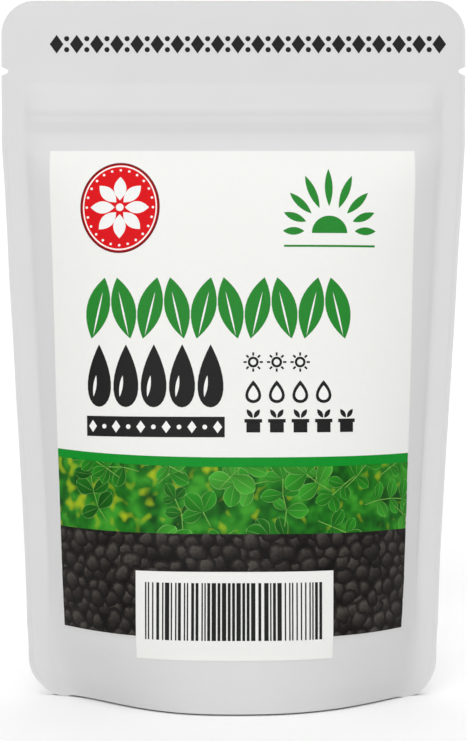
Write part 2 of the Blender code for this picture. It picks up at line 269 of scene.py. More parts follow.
def film_table():
    along = np.linspace(-FLAT_WIDTH / 2.0, FLAT_WIDTH / 2.0, TABLE_COLUMNS)
    rows = int(POUCH_HEIGHT / TABLE_STEP) + 2
    across_table, out_table = np.zeros((rows, TABLE_COLUMNS)), np.zeros((rows, TABLE_COLUMNS))
    for row in range(rows):
        height = min(row * TABLE_STEP, POUCH_HEIGHT)
        for side in (-1.0, 1.0):
            across, out, length = fitted_arch(height, side)
            half = along * side >= 0.0
            reach = np.abs(along[half])
            past_seal = np.clip(reach - length[-1], 0.0, None)
            across_table[row, half] = side * (np.interp(reach, length, across) + past_seal)
            out_table[row, half] = np.interp(reach, length, out)
        out_table[row] = blurred(out_table[row], np.interp(height, BLUR_HEIGHTS, BLUR_REACHES))
    return across_table, out_table


ACROSS_TABLE, OUT_TABLE = film_table()


def film_at(along, height):
    """Where the film's inner face runs: across the pouch, and out from its middle plane."""
    inside = np.clip(along, -FLAT_WIDTH / 2.0, FLAT_WIDTH / 2.0)
    column = (inside / FLAT_WIDTH + 0.5) * (TABLE_COLUMNS - 1)
    row = np.clip(height, 0.0, POUCH_HEIGHT) / TABLE_STEP
    left = np.minimum(column.astype(int), TABLE_COLUMNS - 2)
    low = np.minimum(row.astype(int), len(OUT_TABLE) - 2)
    part_x, part_z = column - left, row - low

    def read(table):
        lower = table[low, left] * (1.0 - part_x) + table[low, left + 1] * part_x
        upper = table[low + 1, left] * (1.0 - part_x) + table[low + 1, left + 1] * part_x
        return lower * (1.0 - part_z) + upper * part_z

    return read(ACROSS_TABLE) + along - inside, read(OUT_TABLE)


at_edge = film_at(np.full(3, FLAT_WIDTH / 2.0), np.array((0.0, 60.0, 130.0)))[0]
print("half width at the foot, waist and mouth, in mm:", np.round(at_edge, 1).tolist())

# %% Points lifted off the film, level with the floor
NORMAL_REACH = 0.5


def on_film(along, height, lift):
    """Points in millimetres at a distance along the front film and a height, lifted off its inner face."""
    left = film_at(along - NORMAL_REACH, height)
    right = film_at(along + NORMAL_REACH, height)
    run_x, run_out = right[0] - left[0], right[1] - left[1]
    size = np.hypot(run_x, run_out)
    across, out = film_at(along, height)
    return np.stack([across - lift * run_out / size, -(HALF_GAP + out + lift * run_x / size), height], axis=1)


# %% [markdown]
# ## The two films
# Each film is a flat sheet whose lines lie closer together where it bends more: at the border,
# the zip and the mouth. Solidify gives it a wall, and then it is wrapped over the arches. In the
# seals the two films are pressed together, so there the outer face comes down to the middle plane.
# Cross-sections could be bridged instead, but a sheet keeps the size that the real one was cut to.

# %% A soft step, and the lines of a sheet


def smooth_step(value):
    value = np.clip(value, 0.0, 1.0)
    return value * value * (3.0 - 2.0 * value)


def run(low, high, step):
    """Even lines from low up to, but without, high."""
    count = max(1, round((high - low) / step))
    return [low + (high - low) * i / count for i in range(count)]


def mirrored(lines):
    return [-line for line in reversed(lines[1:])] + lines


def lined_grid(columns, rows):
    """A flat sheet in the XY plane, with its edges along the given columns and rows."""
    deselect()
    bpy.ops.mesh.primitive_grid_add(x_subdivisions=len(columns) - 1, y_subdivisions=len(rows) - 1, size=1.0)
    sheet = bpy.context.object
    points = read_points(sheet)
    for axis, lines in ((0, columns), (1, rows)):
        index = np.rint((points[:, axis] + 0.5) * (len(lines) - 1)).astype(int)
        points[:, axis] = np.take(lines, index)
    write_points(sheet, points)
    return sheet


FILM_COLUMNS = mirrored(run(0.0, 36.0, 2.0) + run(36.0, 45.0, 0.75) + run(45.0, 46.6, 0.2)
                        + run(46.6, 49.2, 0.65) + run(49.2, 50.4, 0.15) + [50.4, 50.6, 50.8])
FILM_ROWS = (run(0.0, 1.4, 0.15) + run(1.4, 8.0, 0.4) + run(8.0, 118.0, 1.4) + run(118.0, 123.0, 0.4)
             + run(123.0, 134.6, 0.15) + run(134.6, 135.9, 0.4) + run(135.9, 138.3, 0.12)
             + run(138.3, 145.0, 1.0) + run(145.0, 150.8, 0.4) + run(150.8, 152.4, 0.12) + [152.4])
print("film sheet:", len(FILM_COLUMNS), "columns and", len(FILM_ROWS), "rows")

# %% The outline: rounded corners and a tear notch in each side
# A bag's sides aren't cut perfectly straight. The trim is how far the cut runs inside the true line.
TRIM_HEIGHTS = (0.0, 5.0, 10.0, 16.5, 30.0, 65.0, 80.0, 93.0, 107.0, 120.0, 145.0)
TRIM_LEFT = (0.9, 0.3, 0.2, -0.2, -0.26, -0.26, -0.16, -0.22, -0.1, 0.04, 0.0)
TRIM_RIGHT = (0.5, 0.1, 0.04, -0.22, -0.05, -0.06, -0.13, -0.06, -0.2, 0.02, 0.0)


def by_side(along, height, heights, left, right):
    """Read the left or the right side's list of values at each point's height."""
    return np.where(along < 0.0, np.interp(height, heights, left), np.interp(height, heights, right))


def corner_inset(past, width, rise):
    """How far a corner's quarter oval draws the side in, at a distance past the oval's centre line."""
    return width * (1.0 - np.sqrt(1.0 - np.clip(past / rise, 0.0, 1.0) ** 2))


def rounded_side(along, height):
    """Half width of the flat bag at a height, less its rounded corners."""
    trim = by_side(along, height, TRIM_HEIGHTS, TRIM_LEFT, TRIM_RIGHT)
    top = corner_inset(height - (POUCH_HEIGHT - TOP_CORNER_RADIUS), TOP_CORNER_RADIUS, TOP_CORNER_RADIUS)
    corner_width = np.where(along < 0.0, *BOTTOM_CORNER_WIDTHS)
    bottom = corner_inset(BOTTOM_CORNER_RISE - height, corner_width, BOTTOM_CORNER_RISE)
    return FLAT_WIDTH / 2.0 - trim - top - bottom


def cut_outline(along, height):
    """Draw the outer columns in to the bag's cut edge."""
    off_notch = np.abs(height - NOTCH_HEIGHT) / NOTCH_HALF_OPENING
    notch = NOTCH_DEPTH * np.clip(1.0 - off_notch ** 2, 0.0, None)
    past = np.clip(np.abs(along) - CORNER_REACH, 0.0, None)
    share = past / (FLAT_WIDTH / 2.0 - CORNER_REACH)
    drawn = CORNER_REACH + share * (rounded_side(along, height) - notch - CORNER_REACH)
    return np.where(past > 0.0, np.copysign(drawn, along), along)


# %% The foot: it stands on its two corners, and the rim between them clears the floor by a hair
FOOT_GAP = 0.36
FOOT_GAP_REACH = 42.5
FOOT_GAP_SPREAD = 2.5
FOOT_GAP_HEIGHT = 3.0


def raise_rim(along, height):
    gap = FOOT_GAP * smooth_step((FOOT_GAP_REACH - np.abs(along)) / FOOT_GAP_SPREAD)
    return height + gap * np.clip(1.0 - height / FOOT_GAP_HEIGHT, 0.0, 1.0)


# %% The relief: seals pressed flat, and a border pressed a hair lower, which shows as a fine line
FILM_THICKNESS = 0.25
SEALED_LIFT = 0.1
OPEN_LIFT = 0.45
OPEN_AT = 0.8
BORDER_INSET = 0.95
BORDER_DEPTH = 0.06
BORDER_SPREAD = 0.3
BORDER_START = 1.0
BORDER_FADE = 4.0
SLOPE_REACH = 0.3


def edge_distance(along, height):
    """How far inside the cut edge a point lies, with the corners rounded."""
    higher, lower = rounded_side(along, height + SLOPE_REACH), rounded_side(along, height - SLOPE_REACH)
    slope = (higher - lower) / (2.0 * SLOPE_REACH)
    from_side = (rounded_side(along, height) - np.abs(along)) / np.hypot(1.0, slope)
    return np.minimum(from_side, POUCH_HEIGHT - height)


def skin_lift(along, height):
    """Lift of the film's outer face."""
    out = film_at(along, height)[1]
    return SEALED_LIFT + (OPEN_LIFT - SEALED_LIFT) * smooth_step(out / OPEN_AT)


def pressed_border(along, height):
    inside = smooth_step((edge_distance(along, height) - BORDER_INSET) / BORDER_SPREAD + 0.5)
    return BORDER_DEPTH * (inside - 1.0) * smooth_step((height - BORDER_START) / BORDER_FADE)


# %% Wrap a flat drawing on the film
SMOOTH_BELOW = math.radians(50.0)


def wrap(piece, extra=0.0, relief=None):
    """Lay a flat drawing on the front film: x runs along it, y up it and z out of it, in mm."""
    points = read_points(piece)
    along, height, rise = points[:, 0], points[:, 1], points[:, 2]
    lift = skin_lift(along, height) + rise + extra
    if relief is not None:
        lift = lift + relief(along, height)
    # Nothing on the front film passes the pouch's middle plane, where the back film starts.
    lift = np.maximum(lift, -HALF_GAP)
    write_points(piece, on_film(along, height, lift) * MM)
    select(piece)
    bpy.ops.object.shade_smooth_by_angle(angle=SMOOTH_BELOW)


def thicken(piece, thickness, outward=True):
    wall = piece.modifiers.new("wall", "SOLIDIFY")
    wall.thickness = thickness
    wall.offset = 1.0 if outward else -1.0
    apply_all(piece)


# %% Build the front film, and mirror it for the back
front_film = lined_grid(FILM_COLUMNS, FILM_ROWS)
flat = read_points(front_film)
flat[:, 0] = cut_outline(flat[:, 0], flat[:, 1])
flat[:, 1] = raise_rim(flat[:, 0], flat[:, 1])
write_points(front_film, flat)
thicken(front_film, FILM_THICKNESS, outward=False)
wrap(front_film, relief=pressed_border)

back_film = front_film.copy()
back_film.data = front_film.data.copy()
bpy.context.scene.collection.objects.link(back_film)
turned = read_points(back_film)
turned[:, 1] *= -1.0
write_points(back_film, turned)
back_film.data.flip_normals()

# %% [markdown]
# ## The bottom gusset
# The gusset is a folded sheet that opens as the pouch fills. Two skirts are sealed inside the films,
# and the panel between them arches up to the side seals, so the pouch stands on its outer rim.
# It is one grid: its rows go up the front skirt, over the panel and down the back skirt.
# A simulation could open the fold, but worked-out rows keep both skirts exactly inside the films.

# %% Gusset sizes, in millimetres
GUSSET_HALF_LENGTH = 45.3
GUSSET_FOOT = 0.3
GUSSET_THICKNESS = 0.2
GUSSET_MIDDLE_HEIGHT = 8.0
GUSSET_END_HEIGHT = 26.0
GUSSET_RISE_POWER = 2.8
GUSSET_CREASE_RISE = 0.5
GUSSET_CREASE_SPREAD = 0.9
SKIRT_ROWS = 5
PANEL_ROWS = 32
SKIRT_ROOM = 0.02
UNDER_FILM = OPEN_LIFT - FILM_THICKNESS - SKIRT_ROOM

# %% Shape the gusset


def gusset_points(along, way):
    """Points of the gusset for a distance along the foot and a way from front (0) to back (1)."""
    share = np.clip(np.abs(along) / GUSSET_HALF_LENGTH, 0.0, 1.0)
    top = GUSSET_MIDDLE_HEIGHT + (GUSSET_END_HEIGHT - GUSSET_MIDDLE_HEIGHT) * share ** GUSSET_RISE_POWER
    rows = 2 * SKIRT_ROWS + PANEL_ROWS
    row = way * rows
    up = np.clip(np.minimum(row, rows - row) / SKIRT_ROWS, 0.0, 1.0)
    skirt = on_film(along, GUSSET_FOOT + (top - GUSSET_FOOT) * up, UNDER_FILM)
    over = np.clip((row - SKIRT_ROWS) / PANEL_ROWS, 0.0, 1.0)
    points = skirt.copy()
    points[:, 1] = skirt[:, 1] * (1.0 - 2.0 * over)
    crease = GUSSET_CREASE_RISE * np.exp(-(points[:, 1] / GUSSET_CREASE_SPREAD) ** 2)
    points[:, 2] += np.where(up >= 1.0, crease, 0.0)
    return points


gusset = lined_grid(mirrored(run(0.0, 36.0, 1.5) + run(36.0, GUSSET_HALF_LENGTH, 0.7) + [GUSSET_HALF_LENGTH]),
                    run(0.0, 1.0, 1.0 / (2 * SKIRT_ROWS + PANEL_ROWS)) + [1.0])
flat = read_points(gusset)
write_points(gusset, gusset_points(flat[:, 0], flat[:, 1]) * MM)
thicken(gusset, GUSSET_THICKNESS * MM, outward=False)
select(gusset)
bpy.ops.object.shade_smooth_by_angle(angle=SMOOTH_BELOW)

# %% [markdown]
# ## The paper label and the sticker
# Both are thin paper that lies on the film. The label is a rectangle before it is wrapped.
# The sticker lies half on the label and half on the film, so it steps down over the label's edge.
# A Shrinkwrap modifier could lay them on the film, but the film's own table gives its exact bend.

# %% Label sizes, in millimetres
PAPER_THICKNESS = 0.12
PAPER_GAP = 0.01
LABEL_HALF_WIDTH = 39.9
SIDE_HEIGHTS = (16.0, 27.0, 79.0, 105.0)
SIDE_LEFT = (40.5, 40.6, 40.0, 39.9)
SIDE_RIGHT = (39.95, 40.4, 39.85, 39.5)
RISE_HEIGHTS = (15.9, 37.5, 51.4, 53.4, 75.0)
RISE_LEFT = (0.2, 0.38, 1.5, 1.25, 0.0)
RISE_RIGHT = (-0.1, -0.2, 0.25, 0.25, 0.0)
RISE_POWER = 1.8
LABEL_LOW = 15.9
LABEL_HIGH = 119.35
LABEL_TOP = PAPER_GAP + PAPER_THICKNESS
STICKER_LEFT = -20.45
STICKER_RIGHT = 20.95
STICKER_LOW = 11.4
STICKER_HIGH = 29.7
STICKER_OVER_LABEL = 0.24
STEP_LENGTH = 3.6

# %% Wrap the two papers
# Paper and ink bend along the same lines, so that ink never dips into the paper between two of them.
BEND_COLUMN = 1.0
BEND_ROW = 1.25


def bend_lines(low, high, step):
    """Both ends, and all whole multiples of the step between them."""
    return [low] + [step * n for n in range(math.floor(low / step) + 1, math.ceil(high / step))] + [high]


def lay_askew(piece):
    """Stretch a flat sheet as the label was stretched on: its sides move out, and its lines' ends rise."""
    points = read_points(piece)
    along, height = points[:, 0], points[:, 1]
    share = np.clip(np.abs(along) / LABEL_HALF_WIDTH, 0.0, 1.0) ** RISE_POWER
    half = by_side(along, height, SIDE_HEIGHTS, SIDE_LEFT, SIDE_RIGHT)
    rise = by_side(along, height, RISE_HEIGHTS, RISE_LEFT, RISE_RIGHT)
    points[:, 0] *= half / LABEL_HALF_WIDTH
    points[:, 1] += rise * share
    write_points(piece, points)


label = lined_grid(bend_lines(-LABEL_HALF_WIDTH, LABEL_HALF_WIDTH, BEND_COLUMN),
                   bend_lines(LABEL_LOW, LABEL_HIGH, BEND_ROW))
lay_askew(label)
thicken(label, PAPER_THICKNESS)
wrap(label, extra=PAPER_GAP)


def over_label_edge(along, height):
    """Extra lift of the sticker where it lies on the label."""
    return STICKER_OVER_LABEL * smooth_step((height - LABEL_LOW + STEP_LENGTH) / STEP_LENGTH)


sticker = lined_grid(bend_lines(STICKER_LEFT, STICKER_RIGHT, BEND_COLUMN),
                     bend_lines(STICKER_LOW, STICKER_HIGH, BEND_ROW / 2.0))
thicken(sticker, PAPER_THICKNESS)
wrap(sticker, extra=PAPER_GAP, relief=over_label_edge)

# %% [markdown]
# ## The print
# Every print is a thin layer of ink in its own shape. It is drawn flat, in millimetres on the label,
# then cut along the lines where the film bends, given a thickness and wrapped above the paper.
# A picture would be quicker, but drawn shapes stay sharp however near the camera comes.

# %% Stamp copies of one flat shape
Place = namedtuple("Place", "x y turn width height layer tint", defaults=(0.0, 1.0, 1.0, 0, 0.5))
LAYER_RISE = 0.008


def stamp(model, places):
    """Turn one flat shape into copies of itself, each moved, turned, sized and laid on its layer."""
    sheet = bmesh.new()
    tint = sheet.verts.layers.float.new("tint")
    for place in places:
        before = len(sheet.verts)
        sheet.from_mesh(model.data)
        sheet.verts.ensure_lookup_table()
        move = (Matrix.Translation((place.x, place.y, place.layer * LAYER_RISE))
                @ Matrix.Rotation(place.turn, 4, "Z")
                @ Matrix.Diagonal((place.width, place.height, 1.0, 1.0)))
        bmesh.ops.transform(sheet, matrix=move, verts=sheet.verts[before:])
        for vertex in sheet.verts[before:]:
            vertex[tint] = place.tint
    sheet.to_mesh(model.data)
    sheet.free()
    return model


def join(pieces):
    select(pieces[0])
    for piece in pieces[1:]:
        piece.select_set(True)
    if len(pieces) > 1:
        bpy.ops.object.join()
    return bpy.context.object


# %% Cut a drawing along the film's bending lines or to a rectangle, and wrap it as ink
INK_THICKNESS = 0.006
INK_LIFT = 0.012
SAME_POINT = 0.00001
ACROSS = Vector((1.0, 0.0, 0.0))
UPWARD = Vector((0.0, 1.0, 0.0))


def cut(piece, planes, clear=False):
    """Cut a flat drawing along planes, each a point and a normal, and clear what lies beyond if asked."""
    sheet = bmesh.new()
    sheet.from_mesh(piece.data)
    for point, normal in planes:
        bmesh.ops.bisect_plane(sheet, geom=sheet.verts[:] + sheet.edges[:] + sheet.faces[:],
                               dist=SAME_POINT, plane_co=point, plane_no=normal, clear_outer=clear)
    sheet.to_mesh(piece.data)
    sheet.free()


def score(piece):
    """Cut a flat drawing along the bend lines, so that no face spans one."""
    points = read_points(piece)
    planes = []
    for axis, normal, step in ((0, ACROSS, BEND_COLUMN), (1, UPWARD, BEND_ROW)):
        lines = bend_lines(points[:, axis].min(), points[:, axis].max(), step)[1:-1]
        planes += [(normal * line, normal) for line in lines]
    cut(piece, planes)


def crop(piece, left, right, low, high):
    """Cut off what a drawing has outside a rectangle."""
    cut(piece, [(ACROSS * left, -ACROSS), (ACROSS * right, ACROSS),
                (UPWARD * low, -UPWARD), (UPWARD * high, UPWARD)], clear=True)


def print_ink(piece, name, look, paper=LABEL_TOP, relief=None, askew=False):
    """Wrap a flat drawing as ink just above its paper, stretched like the label if it lies askew."""
    if askew:
        lay_askew(piece)
    score(piece)
    thicken(piece, INK_THICKNESS)
    wrap(piece, extra=paper + INK_LIFT, relief=relief)
    dress(piece, name, look)


# %% Flat shapes, each one millimetre across
DROP_FULLNESS = 1.25


def disc(segments):
    deselect()
    bpy.ops.mesh.primitive_circle_add(vertices=segments, radius=0.5, fill_type="NGON")
    return bpy.context.object


def lens(segments=24):
    """A disc drawn out to a point at its top and bottom, like a leaf."""
    shape = disc(segments)
    points = read_points(shape)
    points[:, 0] *= 2.0 * np.abs(points[:, 0])
    write_points(shape, points)
    return shape


def drop(segments=28):
    """A disc drawn out to a point at its top only, like a pip."""
    shape = disc(segments)
    points = read_points(shape)
    points[:, 0] *= np.sqrt(np.clip(0.5 - points[:, 1], 0.0, 1.0)) * DROP_FULLNESS
    write_points(shape, points)
    return shape


def square():
    deselect()
    bpy.ops.mesh.primitive_plane_add(size=1.0)
    return bpy.context.object


def inset_disc(segments, widths, finish):
    """A disc with rings laid in from its rim, and a last operator for the face that is left inside them."""
    shape = disc(segments)
    select(shape)
    bpy.ops.object.mode_set(mode="EDIT")
    bpy.ops.mesh.select_all(action="SELECT")
    for width in widths:
        bpy.ops.mesh.inset(thickness=width)
    finish()
    bpy.ops.object.mode_set(mode="OBJECT")
    return shape


def ring(width, segments):
    """A disc with its middle cut out, which leaves a band of the given width."""
    return inset_disc(segments, [width], lambda: bpy.ops.mesh.delete(type="FACE"))


# %% [markdown]
# ## Ink and paper
# Offset ink on coated paper is a thin, even, satin film. It takes its sheen from the paper below,
# and up close its tone wavers a little, so each ink has a fine noise in its colour.

# %% A printed ink
# Real ink mottles at about a tenth of a millimetre, too fine to show, so it is drawn coarser.
INK_GRAIN = 0.35 * MM
INK_ROUGHNESS = 0.5
INK_SPECULAR = 0.12


def printed_ink(name, hex_colour, waver=0.06):
    """An ink whose tone wavers by the given share."""
    made, tree, shader = new_material(name, INK_ROUGHNESS, specular=INK_SPECULAR)
    place = add_node(tree, "TexCoord")
    grain = add_node(tree, "TexNoise", {"Vector": place.outputs["Object"], "Scale": 1.0 / INK_GRAIN,
                                        "Detail": 2.0})
    spread = add_node(tree, "MapRange", {"Value": grain, "From Min": 0.3, "From Max": 0.7,
                                         "To Min": 1.0 - waver, "To Max": 1.0 + waver})
    tone = add_node(tree, "Mix", {0: 1.0, 6: linear(hex_colour), 7: spread}, data_type="RGBA",
                    blend_type="MULTIPLY")
    set_inputs(tree, shader, {"Base Color": tone})
    return made


green_ink = printed_ink("offset_ink_leaf_green", "#27882F")
rule_ink = printed_ink("offset_ink_deep_green", "#0A9129")
black_ink = printed_ink("offset_ink_black", "#202020", waver=0.12)
red_ink = printed_ink("offset_ink_red", "#DE0410")
rim_ink = printed_ink("offset_ink_dark_red", "#7C040E")
white_ink = printed_ink("offset_ink_opaque_white", "#F6F6F4", waver=0.02)

# %% [markdown]
# ## The badge
# A seal-like oval in red: a dark rim, a thin white ring, and a plain rosette in white.
# Curves could draw it too, but a disc that is stretched or pinched to a point already has its face.

# %% Draw the badge, in millimetres
# White shapes lie on the second layer, over the inks below them.
BADGE = Vector((-24.4, 106.65))
BADGE_WIDTH = 17.2
BADGE_HEIGHT = 19.9
BADGE_SEGMENTS = 72
RIM_WIDTH = 0.45
RING_INSET = 1.2
RING_WIDTH = 0.3
PETALS = 8
PETAL_LENGTH = 5.2
PETAL_WIDTH = 2.7
PETAL_REACH = 3.7
PETAL_STRETCH = 1.12
HUB_DIAMETER = 1.7
BADGE_DOTS = 24
DOT_DIAMETER = 0.55
DOT_REACH = 0.83
OVER_INK = 2


def wheel(count, middle, reach_x, reach_y):
    """Places round an oval, each with the turn that points it outward."""
    turns = [2.0 * math.pi * number / count for number in range(count)]
    return [(middle[0] - reach_x * math.sin(turn), middle[1] + reach_y * math.cos(turn), turn)
            for turn in turns]


def badge_oval(shape, inset, layer=0):
    """Stretch a round shape to the badge's oval, or to one inside it."""
    return stamp(shape, [Place(*BADGE, 0.0, BADGE_WIDTH - inset, BADGE_HEIGHT - inset, layer)])


print_ink(badge_oval(disc(BADGE_SEGMENTS), 0.0), "print_badge_rim", rim_ink)
print_ink(badge_oval(disc(BADGE_SEGMENTS), 2 * RIM_WIDTH, 1), "print_badge_red", red_ink)
badge_ring = badge_oval(ring(RING_WIDTH / BADGE_WIDTH, BADGE_SEGMENTS), RING_INSET, OVER_INK)
petals = [Place(x, y, turn, PETAL_WIDTH, PETAL_LENGTH, OVER_INK)
          for x, y, turn in wheel(PETALS, BADGE, PETAL_REACH, PETAL_REACH * PETAL_STRETCH)]
dots = [Place(*BADGE, 0.0, HUB_DIAMETER, HUB_DIAMETER, OVER_INK)]
for x, y, _ in wheel(BADGE_DOTS, BADGE, DOT_REACH * BADGE_WIDTH / 2.0, DOT_REACH * BADGE_HEIGHT / 2.0):
    dots.append(Place(x, y, 0.0, DOT_DIAMETER, DOT_DIAMETER, OVER_INK))
white_shapes = [badge_ring, stamp(lens(), petals), stamp(disc(12), dots)]

# %% [markdown]
# ## The green drawings
# A half sun with its rays stands at the upper right. Below it, a garland of leaves
# runs across the label, leaning left and right by turns. Every ray and leaf is the same pointed
# shape, copied at its own size and turn, so one good outline does for all of them.

# %% Draw the sun and the garland
SUN = Vector((20.6, 101.0))
SUN_DIAMETER = 7.6
RAYS = 9
RAY_RAISE = 0.45
RAY_START = 5.4
RAY_END_SIDE = 10.0
RAY_END_TOP = 13.8
RAY_WIDTH = 1.7
SUN_RULE_SIZE = (19.6, 0.45)
SUN_RULE_HEIGHT = 98.2
GARLAND_LEFT = -31.9
GARLAND_RIGHT = 25.1
GARLAND_MIDDLE = 84.9
GARLAND_LEAVES = 10
GARLAND_LENGTH = 13.4
GARLAND_WIDTH = 5.2
GARLAND_LEAN = math.radians(13.0)
MIDRIB_WIDTH = 0.4
MIDRIB_SHARE = 0.72
MIDRIB_DROP = 1.2


def spaced(count, left, right):
    """Middles of a number of equal steps from left to right."""
    return [left + (number + 0.5) / count * (right - left) for number in range(count)]


sun_disc = stamp(disc(48), [Place(*SUN, 0.0, SUN_DIAMETER, SUN_DIAMETER)])
crop(sun_disc, SUN.x - SUN_DIAMETER, SUN.x + SUN_DIAMETER, SUN.y, SUN.y + SUN_DIAMETER)
ray_places = []
for number in range(RAYS):
    turn = math.pi * (number / (RAYS - 1) - 0.5)
    end = RAY_END_SIDE + (RAY_END_TOP - RAY_END_SIDE) * math.cos(turn) ** 2
    reach = (RAY_START + end) / 2.0
    ray_places.append(Place(SUN.x - reach * math.sin(turn), SUN.y + RAY_RAISE + reach * math.cos(turn), turn,
                            RAY_WIDTH, end - RAY_START))
rays = stamp(lens(), ray_places)
sun_rule = stamp(square(), [Place(SUN.x, SUN_RULE_HEIGHT, 0.0, *SUN_RULE_SIZE)])

leaf_places, rib_places = [], []
for number, x in enumerate(spaced(GARLAND_LEAVES, GARLAND_LEFT, GARLAND_RIGHT)):
    lean = GARLAND_LEAN if number % 2 else -GARLAND_LEAN
    leaf_places.append(Place(x, GARLAND_MIDDLE, lean, GARLAND_WIDTH, GARLAND_LENGTH))
    rib_places.append(Place(x, GARLAND_MIDDLE - MIDRIB_DROP, lean, MIDRIB_WIDTH,
                            GARLAND_LENGTH * MIDRIB_SHARE, OVER_INK))
garland = stamp(lens(32), leaf_places)
print_ink(join([sun_disc, rays, sun_rule, garland]), "print_green_ink", green_ink)
white_shapes.append(stamp(lens(), rib_places))

# %% [markdown]
# ## The black drawings
# A row of upright pips stands over a black bar with white lozenges, and three short rows of signs
# for sun, water and pot stand beside them. A white shape over a black one leaves a drawn line,
# which is simpler than a hole cut with a Boolean and looks the same in ink.

# %% Draw the pips, the bar and the signs
# A size is a width and a height. A pot's parts are its body and its rim, each after its rise.
PIPS = 5
PIP_LEFT = -31.8
PIP_RIGHT = -1.8
PIP_MIDDLE = 70.5
PIP_HEIGHT = 13.3
PIP_WIDTH = 5.7
GLINT_SHIFT = (-1.0, -2.2)
GLINT_TURN = math.radians(-8.0)
GLINT_SIZE = (0.75, 4.6)
BAR_MIDDLE = 59.75
BAR_HEIGHT = 4.3
BAR_MARGIN = 1.5
BAR_MOTIFS = 11
BAR_LOZENGE = (1.9, 2.6)
BAR_DOT = 1.0
SIGN_LEFT = 4.2
SIGN_PITCH = 4.95
SUN_ROW = 73.4
SUN_SIGNS = 3
SUN_RING = 2.3
TICKS = 8
TICK_REACH = 1.7
TICK_SIZE = (0.4, 0.7)
DROP_ROW = 67.15
DROP_SIGNS = 4
DROP_SIZE = (3.5, 4.8)
DROP_HOLE = (2.2, 3.1)
DROP_HOLE_SHIFT = -0.2
POT_ROW = 60.95
POT_SIGNS = 5
POT_PARTS = ((-1.2, 2.9, 2.3), (0.1, 3.7, 0.75))
POT_LEAF = (1.0, 2.2)
POT_LEAF_SHIFT = (0.75, 1.6)
POT_LEAF_TURN = math.radians(35.0)


def motif_row(count, left, right, middle, lozenge, dot, segments, rises=(0.0,), layer=0):
    """A row of lozenges and dots by turns, with a dot at each of the rises."""
    lozenges, dots = [], []
    for number in range(count):
        x = left + number / (count - 1) * (right - left)
        if number % 2:
            dots += [Place(x, middle + rise, 0.0, dot, dot, layer) for rise in rises]
        else:
            lozenges.append(Place(x, middle, 0.0, *lozenge, layer))
    return [stamp(disc(4), lozenges), stamp(disc(segments), dots)]


pip_columns = spaced(PIPS, PIP_LEFT, PIP_RIGHT)
pips = stamp(drop(), [Place(x, PIP_MIDDLE, 0.0, PIP_WIDTH, PIP_HEIGHT) for x in pip_columns])
glints = [Place(x + GLINT_SHIFT[0], PIP_MIDDLE + GLINT_SHIFT[1], GLINT_TURN, *GLINT_SIZE, OVER_INK)
          for x in pip_columns]
white_shapes.append(stamp(lens(), glints))
bar = stamp(square(), [Place((PIP_LEFT + PIP_RIGHT) / 2.0, BAR_MIDDLE, 0.0,
                             PIP_RIGHT - PIP_LEFT, BAR_HEIGHT)])
white_shapes += motif_row(BAR_MOTIFS, PIP_LEFT + BAR_MARGIN, PIP_RIGHT - BAR_MARGIN, BAR_MIDDLE,
                          BAR_LOZENGE, BAR_DOT, 14, layer=OVER_INK)

columns = [SIGN_LEFT + number * SIGN_PITCH for number in range(POT_SIGNS)]
ticks, pots, pot_leaves = [], [], []
for column in columns[:SUN_SIGNS]:
    for x, y, turn in wheel(TICKS, (column, SUN_ROW), TICK_REACH, TICK_REACH):
        ticks.append(Place(x, y, turn, *TICK_SIZE))
for column in columns:
    pots += [Place(column, POT_ROW + rise, 0.0, width, height) for rise, width, height in POT_PARTS]
    for side in (-1.0, 1.0):
        pot_leaves.append(Place(column + side * POT_LEAF_SHIFT[0], POT_ROW + POT_LEAF_SHIFT[1],
                                -side * POT_LEAF_TURN, *POT_LEAF))
signs = [stamp(ring(0.22, 24), [Place(x, SUN_ROW, 0.0, SUN_RING, SUN_RING) for x in columns[:SUN_SIGNS]]),
         stamp(square(), ticks + pots),
         stamp(drop(20), [Place(x, DROP_ROW, 0.0, *DROP_SIZE) for x in columns[:DROP_SIGNS]]),
         stamp(lens(12), pot_leaves)]
drop_holes = [Place(x, DROP_ROW + DROP_HOLE_SHIFT, 0.0, *DROP_HOLE, OVER_INK) for x in columns[:DROP_SIGNS]]
white_shapes.append(stamp(drop(20), drop_holes))
print_ink(join([pips, bar] + signs), "print_black_ink", black_ink)
print_ink(join(white_shapes), "print_white_ink", white_ink)

# %% [markdown]
# ## The ornament on the film
# The sealed top of the pouch carries a row of black ornament, printed straight on the film.
# It is an old border pattern of lozenges and dots. An Array modifier repeats one shape evenly,
# but here two shapes take turns, so a list of places is plainer.

# %% Draw the ornament
ORNAMENT_LEFT = -38.7
ORNAMENT_RIGHT = 45.1
ORNAMENT_MIDDLE = 142.9
ORNAMENT_MOTIFS = 39
ORNAMENT_LOZENGE = (3.0, 4.1)
ORNAMENT_DOT = 1.15
ORNAMENT_DOT_RISES = (-1.2, 1.2)

ornament = join(motif_row(ORNAMENT_MOTIFS, ORNAMENT_LEFT, ORNAMENT_RIGHT, ORNAMENT_MIDDLE, ORNAMENT_LOZENGE,
                          ORNAMENT_DOT, 16, rises=ORNAMENT_DOT_RISES))
print_ink(ornament, "print_border_ornament", black_ink, paper=0.0)

# %% [markdown]
# ## The leaves in the picture band
# The lower half of the label shows foliage over dark seeds. The foliage is drawn as sprigs of leaves.
# One leaf is modelled, with a rib down its middle, and its copies are laid down like cut paper:
# each lies one layer above the highest leaf it touches.

# %% The bands, and the green rule above them
BAND_HALF_WIDTH = 39.82
RULE_LOW = 51.4
RULE_HIGH = 53.4
LEAF_BAND_LOW = 37.5
SEED_BAND_LOW = 15.95


def band(low, high):
    return lined_grid(bend_lines(-BAND_HALF_WIDTH, BAND_HALF_WIDTH, BEND_COLUMN),
                      bend_lines(low, high, BEND_ROW))


